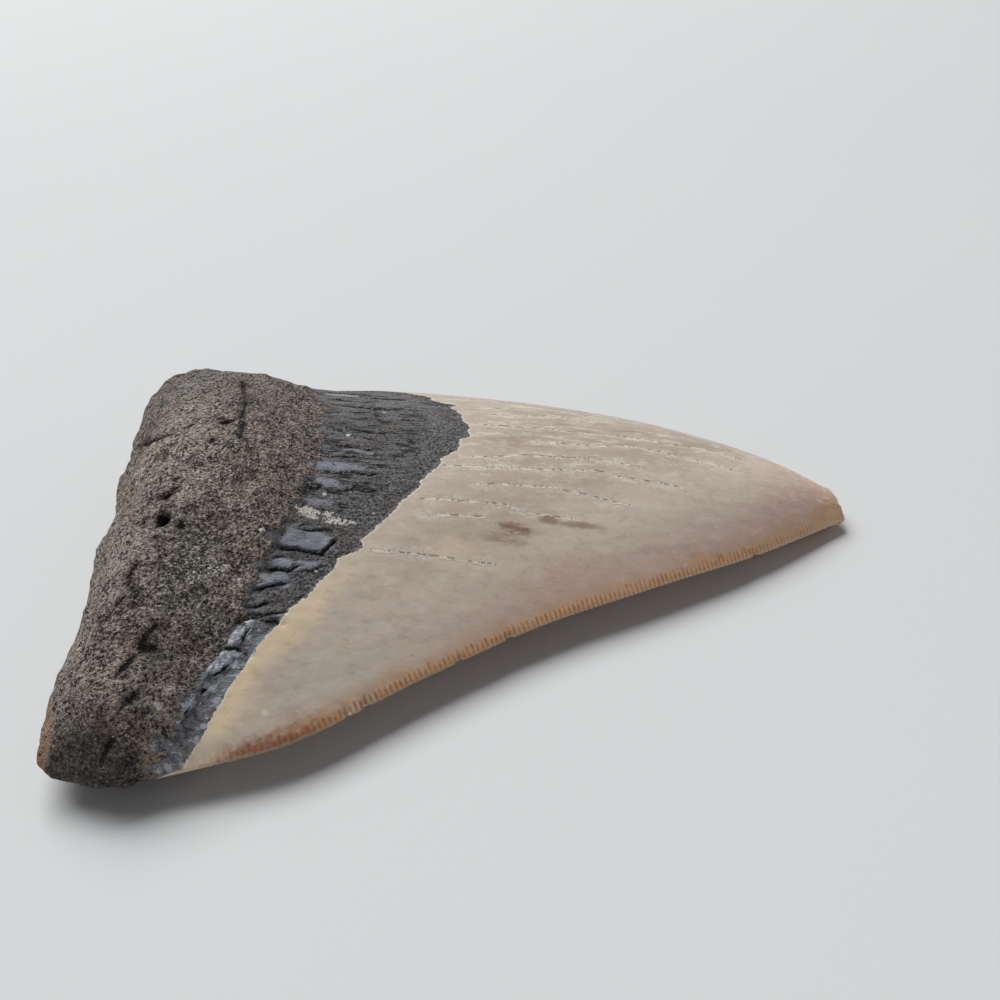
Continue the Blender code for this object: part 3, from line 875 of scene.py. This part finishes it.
# The bourlette: a slate coat with a grain along the tooth, glossy and blue on the flakes that are left
# whole, the blue partly painted sheen, with painted glints on some flakes and on its smooth near end,
# lighter towards the far side as painted light, dull and granular beside the enamel, and cut through by
# cracks painted black as their shade.
SLATE_DARK = (0.066, 0.066, 0.072)
SLATE = (0.175, 0.175, 0.19)
SLATE_FAR = (0.25, 0.25, 0.255)
SLATE_SMOOTH = (0.19, 0.2, 0.22)
SLATE_SAND = (0.26, 0.255, 0.255)
SLATE_BROWN = (0.12, 0.094, 0.083)
SLATE_BLUE = (0.2, 0.215, 0.26)
# Pale blue-white for painted glints.
SLATE_GLINT = (0.52, 0.56, 0.62)
# Near-black: painted shade in the cracks, and the band's own dark patches and specks.
CRACK_BLACK = (0.006, 0.006, 0.007)

band_group, given, wanted = new_finish("bourlette_finish")
tree = band_group
place = given["Place"]
scuffs = cloud(tree, stretched(tree, place, 0.5), 0.9, 3.0, 0.6)
gloss = times(tree, measure(tree, "gloss"), fade(tree, scuffs, 0.3, 0.42))
grained = cloud(tree, stretched(tree, place, 0.2), 0.9, 3.0, 0.62)
sand = cloud(tree, place, 0.42, 2.0, 0.62)
fine_grain = cloud(tree, stretched(tree, place, 0.12), 0.3, 2.0, 0.6)
blotches = cloud(tree, place, 1.3, 3.0, 0.65)
by_crown = fade(tree, measure(tree, "from_enamel"), -9, -3)
along_y = node(tree, "ShaderNodeSeparateXYZ", {0: place}).outputs[1]
smooth_end = fade(tree, along_y, -26, -32)
brownish = fade(tree, cloud(tree, place, 4.5, 2.0), 0.52, 0.66)
dull = times(tree, rest(tree, gloss), rest(tree, times(tree, smooth_end, 0.75)))
painted_glint = times(tree, measure(tree, "painted_glint"), fade(tree, cloud(tree, place, 0.8, 2.0), 0.4, 0.54))
hairlines = seams(tree, cloud(tree, stretched(tree, place, 0.17, 1, 0.8), 1.6, 3.0, 0.6, 0.2), 0.036)
broken_up = fade(tree, cloud(tree, place, 2.2, 2.0), 0.42, 0.54)
hairlines = times(tree, hairlines, broken_up, dull, plus(tree, 1.0, by_crown, -0.75))
split_open = fade(tree, plus(tree, measure(tree, "crack"), swing(tree, place, 0.45), 0.6), 0.2, 0.1)
shaded_cracks = largest(tree, hairlines, split_open)
color = coats(
    tree, SLATE_DARK,
    (SLATE, fade(tree, mix(tree, by_crown, grained, sand), 0.36, 0.62)),
    # Painted light: the band lighter towards the far side, where it faces up.
    (SLATE_FAR, fade(tree, along_y, 6, 22), 0.4),
    (SLATE_BROWN, brownish, rest(tree, gloss), 0.55),
    (SLATE_SMOOTH, smooth_end, 0.6),
    # Painted glints on the smooth near end.
    (SLATE_GLINT, fade(tree, blotches, 0.54, 0.62), smooth_end, 0.65),
    (CRACK_BLACK, fade(tree, blotches, 0.46, 0.38), smooth_end, 0.6),
    (SLATE_SAND, fade(tree, sand, 0.54, 0.65), dull, 0.6),
    (CRACK_BLACK, fade(tree, sand, 0.43, 0.35), dull, 0.75),
    # Lighter blue on the glossy flakes: partly the flakes' own colour, partly painted sheen.
    (SLATE_BLUE, gloss, plus(tree, 0.55, fine_grain, 0.6)),
    # Painted glints on some of the glossy flakes.
    (SLATE_GLINT, painted_glint, 0.8),
    # Painted shade: the cracks and hairline splits blackened.
    (CRACK_BLACK, shaded_cracks, 0.95),
)
height = plus(tree, times(tree, sand, 0.6, dull), grained, 0.35)
height = plus(tree, plus(tree, height, shaded_cracks, -0.4), fine_grain, 0.08)
feed(tree, wanted, {"Color": color, "Roughness": mix(tree, gloss, 0.66, 0.3), "Height": height})

# The enamel: grey-beige with tan streaks over the crest and painted shade over it, creamy along its
# broken end and yellow low down there, with a rosy blush above the near edge and round the tip, chalky
# growth lines with painted shade in short dashes beside them, and a rusty rim on its serrations.
ENAMEL_GREY = (0.52, 0.445, 0.37)
ENAMEL_BEIGE = (0.53, 0.445, 0.365)
ENAMEL_PALE = (0.7, 0.61, 0.52)
ENAMEL_CREAM = (0.53, 0.465, 0.39)
ENAMEL_YELLOW = (0.9, 0.73, 0.49)
ENAMEL_TAN = (0.36, 0.265, 0.19)
# Darker tone laid over the crest as painted shade.
ENAMEL_CREST_SHADE = (0.36, 0.31, 0.26)
ENAMEL_SMUDGE = (0.4, 0.315, 0.26)
ENAMEL_ROSE = (0.62, 0.45, 0.39)
ENAMEL_ORANGE = (0.62, 0.38, 0.225)
GROWTH_WHITE = (0.76, 0.705, 0.625)
# Dark brown: painted shade in the dashes beside the growth lines, and the enamel's own dark specks.
GROWTH_DARK = (0.13, 0.1, 0.08)
STAIN_BROWN = (0.21, 0.115, 0.065)
DOT_CREAM = (0.86, 0.8, 0.68)
TIP_GREY = (0.4, 0.36, 0.33)
RIM_RUST = (0.3, 0.115, 0.055)
RIM_GAP = (0.42, 0.21, 0.11)
RIM_RIDGE = (0.7, 0.4, 0.215)
RIM_CREAM = (0.66, 0.54, 0.41)

# Brown stains by the growth lines, and two places where the rim has lost its rust.
STAINS = (
    ((40.6, -12.2, 14.4), (2.4, 0.9, 3), 1.0, 1.6, 0.45, 1.0),
    ((38.8, -14.1, 14), (3, 0.9, 3), 1.4, 1.6, 0.5, 0.6),
    ((46.1, -10.3, 14), (1.6, 0.7, 3), 1.4, 1.2, 0.4, 0.9),
    ((50.3, -10.6, 13.4), (3.8, 0.45, 3), 1.2, 1.0, 0.5, 0.75),
)
CHIPPED_RIM = (
    ((16.2, -37.9, 6), (0.9, 1.2, 2), 0.8, 1.0, 0.2, 1.0),
    ((18.3, -36.6, 6), (0.9, 1.5, 2), 0.8, 1.0, 0.2, 1.0),
)

enamel_group, given, wanted = new_finish("enamel_finish")
tree = enamel_group
place = given["Place"]
past_line = measure(tree, "from_enamel")
edge = measure(tree, "from_edge")
x, y, _ = node(tree, "ShaderNodeSeparateXYZ", {0: place}).outputs
drift = swing(tree, place, 9.0, 3.0)
smudge = cloud(tree, stretched(tree, place, 0.35), 2.6, 3.0, 0.55)
lined = cloud(tree, stretched(tree, place, 0.07), 1.0, 3.0, 0.6)
speckle = cloud(tree, place, 0.6, 2.0, 0.6)
mottle = cloud(tree, stretched(tree, place, 0.6), 1.5, 4.0, 0.68)
broken = cloud(tree, stretched(tree, place, 0.4), 0.9, 3.0, 0.65)
jitter = swing(tree, place, 0.9, 3.0, 0.6)
crest = fade(tree, plus(tree, y, drift, 20), -14, 16)
tan_streaks = fade(tree, cloud(tree, stretched(tree, place, 0.12), 2.0, 3.0, 0.6), 0.51, 0.61)
from_near = plus(tree, plus(tree, y, x, -0.5), 42.0)
cream = fade(tree, plus(tree, past_line, drift, 18), 9.0, 0.5)
yellow = fade(tree, plus(tree, past_line, smudge, 7), 9.5, 4.5)
low_down = times(tree, yellow, fade(tree, plus(tree, y, drift, 12), -15, -33), fade(tree, y, -45, -41))
flank = fade(tree, plus(tree, edge, drift, 7), 8.0, 2.5)
glow = fade(tree, plus(tree, edge, drift, 3), 3.0, 0.8)
color = coats(
    tree, ENAMEL_GREY,
    (ENAMEL_BEIGE, fade(tree, smudge, 0.4, 0.62)),
    (ENAMEL_CREAM, crest, fade(tree, lined, 0.42, 0.6), 0.5),
    (ENAMEL_TAN, tan_streaks, crest, 0.65),
    # Painted shade over the crest.
    (ENAMEL_CREST_SHADE, crest, 0.3),
    (ENAMEL_PALE, fade(tree, plus(tree, from_near, drift, 14), 14, 4), 0.8),
    (ENAMEL_CREAM, cream, 0.8),
    (ENAMEL_PALE, cream, fade(tree, plus(tree, y, drift, 12), -2, -20), 0.45),
    (ENAMEL_YELLOW, low_down, 0.85),
    (ENAMEL_ROSE, flank, fade(tree, plus(tree, x, drift, 20), 16, 46), 0.8),
    (ENAMEL_ROSE, patch(tree, place, (46.8, -18.3, 9), (2.4, 4, 6), 3.0, 1.2, 0.5), 0.55),
    (ENAMEL_ROSE, patch(tree, place, (99, 3, 4), (15, 11, 12), 5.0, 1.0, 0.5), 0.8),
    (ENAMEL_ORANGE, patch(tree, place, (100, 0, 2), (9, 6.5, 6), 3.0, 0.8, 0.5), 0.85),
    (ENAMEL_ORANGE, glow, fade(tree, x, -2, 12), 0.75),
    (ENAMEL_SMUDGE, fade(tree, mottle, 0.5, 0.68), 0.3),
    (GROWTH_WHITE, fade(tree, mottle, 0.47, 0.33), 0.3),
)

growth = measure(tree, "streak")
growth_side = measure(tree, "streak_side")
by_growth = fade(tree, growth, 0.75, 0.5)
foam = fade(tree, plus(tree, growth, smudge, 4.0), 3.4, 1.8)
chalk = fade(tree, plus(tree, calc(tree, "ABSOLUTE", growth_side), broken, 1.3), 0.85, 0.62)
chalk = times(tree, chalk, by_growth)
# Short dark dashes on one side of each growth line: painted shade.
shade_dashes = fade(tree, cloud(tree, stretched(tree, place, 1, 0.2, 0.2), 0.85, 2.0), 0.53, 0.58)
shaded_side = calc(tree, "ABSOLUTE", calc(tree, "SUBTRACT", growth_side, 0.14))
shade_dashes = times(tree, shade_dashes, by_growth, fade(tree, plus(tree, shaded_side, speckle, 0.1), 0.19, 0.1))
faint_lines = times(tree, fade(tree, lined, 0.53, 0.62), fade(tree, broken, 0.44, 0.56), crest)
color = coats(
    tree, color,
    (GROWTH_WHITE, foam, fade(tree, speckle, 0.4, 0.6), 0.6),
    (GROWTH_WHITE, chalk, 0.9),
    # Painted shade in the dashes.
    (GROWTH_DARK, shade_dashes, 0.55),
    (GROWTH_WHITE, faint_lines, 0.85),
    (STAIN_BROWN, patches(tree, place, STAINS), fade(tree, lined, 0.3, 0.5), 0.8),
    (ENAMEL_YELLOW, patch(tree, place, (32.3, -16.7, 14.3), (4, 1.5, 4), 2.0, 1.2, 0.6), 0.3),
    (DOT_CREAM, patch(tree, place, (5.3, -40.2, 8.4), (0.4, 0.35, 0.9), 0.6, 1.2, 0.5), 0.8),
    (GROWTH_DARK, fade(tree, cloud(tree, place, 0.9, 2.0, 0.6), 0.28, 0.24), 0.3),
    (GROWTH_WHITE, fade(tree, speckle, 0.66, 0.74), 0.4),
)

ticks = calc(tree, "COSINE", times(tree, measure(tree, "serration"), 2 * pi))
toothed = measure(tree, "worn")
ridges = fade(tree, plus(tree, times(tree, ticks, toothed), jitter, 3.6), -0.9, 0.4)
root_end = fade(tree, plus(tree, x, jitter, 5), 2.0, -3.0)
tip_end = fade(tree, x, 74, 90)
low_rust = times(tree, fade(tree, x, 16, 9), rest(tree, root_end))
rim = fade(tree, plus(tree, edge, jitter, 2.2), 1.3, 0.65)
gaps = coats(
    tree, RIM_GAP,
    (RIM_RUST, low_rust, 0.95),
    (ENAMEL_YELLOW, root_end, 0.8),
    (ENAMEL_ORANGE, tip_end, 0.7),
)
serrated = coats(
    tree, RIM_RIDGE,
    (RIM_RUST, low_rust, 0.8),
    (RIM_CREAM, patches(tree, place, CHIPPED_RIM)),
    (RIM_CREAM, largest(tree, root_end, times(tree, tip_end, 0.3))),
)
color = coats(
    tree, color,
    (RIM_RUST, low_rust, fade(tree, plus(tree, edge, jitter, 3), 2.2, 0.8), 0.6),
    (paint(tree, gaps, serrated, ridges), rim, 0.85),
    (TIP_GREY, patch(tree, place, (99.4, 6.8, 4.5), (1.9, 1.5, 2.2), 1.0, 0.8, 0.45), 0.55),
    (RIM_CREAM, fade(tree, plus(tree, edge, jitter, 0.8), 0.4, 0.15), 0.55),
    (GROWTH_WHITE, fade(tree, plus(tree, past_line, broken, 0.9), 0.95, 0.6), 0.6),
)
height = plus(tree, times(tree, lined, crest, 0.1), chalk, 0.05)
height = plus(tree, plus(tree, height, shade_dashes, -0.12), times(tree, ticks, rim, toothed), 0.05)
height = plus(tree, plus(tree, height, speckle, 0.03), smudge, 0.12)
feed(tree, wanted, {"Color": color, "Roughness": mix(tree, smudge, 0.28, 0.5), "Height": height})

# White mineral crust: one spot and a streak on the band, and loose flecks over the bone.
CRUST_WHITE = (0.68, 0.67, 0.62)
CRUSTS = (
    ((10.4, -13.4, 20.2), (2.2, 1.3, 3), 1.0, 1.2, 0.5, 1.0),
    ((13.3, -13.2, 19.5), (0.8, 0.7, 2), 0.6, 1.2, 0.5, 1.0),
    ((15.0, -14.3, 19), (3.0, 0.7, 3), 0.6, 1.2, 0.6, 1.0),
)
FLECKS = (
    ((4, 12.6, 23), (3, 2.2, 3), 2.0, 1.5, 0.6, 1.0),
    ((-2.5, -24.3, 20), (3.2, 2.6, 4), 2.0, 1.5, 0.6, 1.0),
    ((-1.5, 26, 20), (10, 4, 4), 2.0, 1.5, 0.6, 0.6),
)


def new_material(name):
    """A new material, its nodes and the inputs of its shader."""
    material = bpy.data.materials.new(name)
    material.use_nodes = True
    tree = material.node_tree
    return material, tree, tree.nodes["Principled BSDF"].inputs


fossil, tree, shader = new_material("fossil_tooth")
own_place = node(tree, "ShaderNodeTexCoord").outputs["Object"]
in_mm = {"Vector": own_place, "Location": (MIDDLE_X, MIDDLE_Y, 0), "Scale": (1 / MM,) * 3}
place = node(tree, "ShaderNodeMapping", in_mm).outputs[0]
groups = (bone_group, band_group, enamel_group)
finishes = [node(tree, "ShaderNodeGroup", {"Place": place}, node_tree=group) for group in groups]
bone, band, enamel = (finish.outputs for finish in finishes)
wander = swing(tree, stretched(tree, place, 0.5), 1.9, 3.0, 0.6)
in_band = fade(tree, plus(tree, measure(tree, "from_gum"), wander, 8.0), 0.0, 0.8)
jagged = swing(tree, place, 0.55, 2.0, 0.6)
in_enamel = fade(tree, plus(tree, measure(tree, "from_enamel"), jagged, 0.9), -0.05, 0.05)
grit = cloud(tree, place, 0.5, 2.0, 0.65)
crust = fade(tree, plus(tree, grit, patches(tree, place, CRUSTS), 0.36), 0.76, 0.8)
flecks = fade(tree, plus(tree, grit, patches(tree, place, FLECKS), 0.13), 0.69, 0.73)
dots = fade(tree, plus(tree, measure(tree, "dot"), jagged, 2.5), 1.2, 0.9)
crust = largest(tree, crust, times(tree, flecks, rest(tree, in_enamel)), dots)
color = coats(
    tree, bone["Color"], (band["Color"], in_band), (enamel["Color"], in_enamel), (CRUST_WHITE, crust, 0.85)
)
rough = mix(tree, in_band, bone["Roughness"], band["Roughness"])
rough = mix(tree, crust, mix(tree, in_enamel, rough, enamel["Roughness"]), 0.9)
height = mix(tree, in_band, bone["Height"], band["Height"])
height = mix(tree, in_enamel, height, plus(tree, 0.4, enamel["Height"]))
relief = {"Height": plus(tree, height, crust, 0.15), "Strength": 1.0, "Distance": MM}
bump = node(tree, "ShaderNodeBump", relief).outputs[0]
feed(tree, shader, {"Base Color": color, "Roughness": rough, "Normal": bump, "Specular IOR Level": 0.3})
tooth_mesh.materials.append(fossil)


# ------------------------------------------------------------
# The table, a plain pale card with a very faint mottle, far wider than the view. It is there for the
# tooth to lie on, and is no part of it.

CARD_GREY = (0.675, 0.698, 0.722)
CARD_LIGHT = (0.7, 0.72, 0.742)

table_mesh = bpy.data.meshes.new("table")
sheet = bmesh.new()
bmesh.ops.create_grid(sheet, x_segments=8, y_segments=8, size=2.0)
sheet.to_mesh(table_mesh)
sheet.free()
table = in_scene("table", table_mesh)
card, tree, shader = new_material("pale_card")
own_place = node(tree, "ShaderNodeTexCoord").outputs["Object"]
mottle = node(tree, "ShaderNodeTexNoise", {"Vector": own_place, "Scale": 6.0, "Detail": 3.0}).outputs["Fac"]
color = paint(tree, CARD_GREY, CARD_LIGHT, mottle)
feed(tree, shader, {"Base Color": color, "Roughness": 0.7, "Specular IOR Level": 0.2})
table_mesh.materials.append(card)


# ------------------------------------------------------------
# The studio: one wide soft light from behind and to the left, the room's own pale light, which is warmer
# low down, and a camera that looks down on the tongue side from the near edge.

LOW_GLOW = (1.5, 1.33, 1.24)
HIGH_GLOW = (0.45, 0.48, 0.51)
LIGHT_PLACE = (-0.8875, 1.375, 2.625)
CAMERA_PLACE = (-0.0112, -0.13302, 0.10493)
CAMERA_DOWN = 35.334
CAMERA_ROUND = 5.64

window = bpy.data.lights.new("window", "AREA")
window.shape = "RECTANGLE"
window.size = 2.5
window.size_y = 2.125
window.energy = 104.7
window.color = (1.0, 0.985, 0.96)
turn = (-Vector(LIGHT_PLACE)).to_track_quat("-Z", "Y")
in_scene("window", window).matrix_world = Matrix.Translation(LIGHT_PLACE) @ turn.to_matrix().to_4x4()

world = bpy.data.worlds.new("room")
world.use_nodes = True
room = world.node_tree
direction = node(room, "ShaderNodeTexCoord").outputs["Generated"]
height = node(room, "ShaderNodeSeparateXYZ", {0: direction}).outputs[2]
glow = paint(room, LOW_GLOW, HIGH_GLOW, fade(room, height, 0.1, 0.7))
feed(room, room.nodes["Background"].inputs, {"Color": glow, "Strength": 0.26})
bpy.context.scene.world = world
bpy.context.scene.view_settings.view_transform = "Standard"

lens = bpy.data.cameras.new("camera")
lens.sensor_fit = "HORIZONTAL"
lens.sensor_width = 36
lens.lens = 36
lens.clip_start = 0.005
camera = in_scene("camera", lens)
tilt = Matrix.Rotation(radians(90 - CAMERA_DOWN), 4, "X")
turn = Matrix.Rotation(radians(-CAMERA_ROUND), 4, "Z")
camera.matrix_world = Matrix.Translation(CAMERA_PLACE) @ turn @ tilt
bpy.context.scene.camera = camera
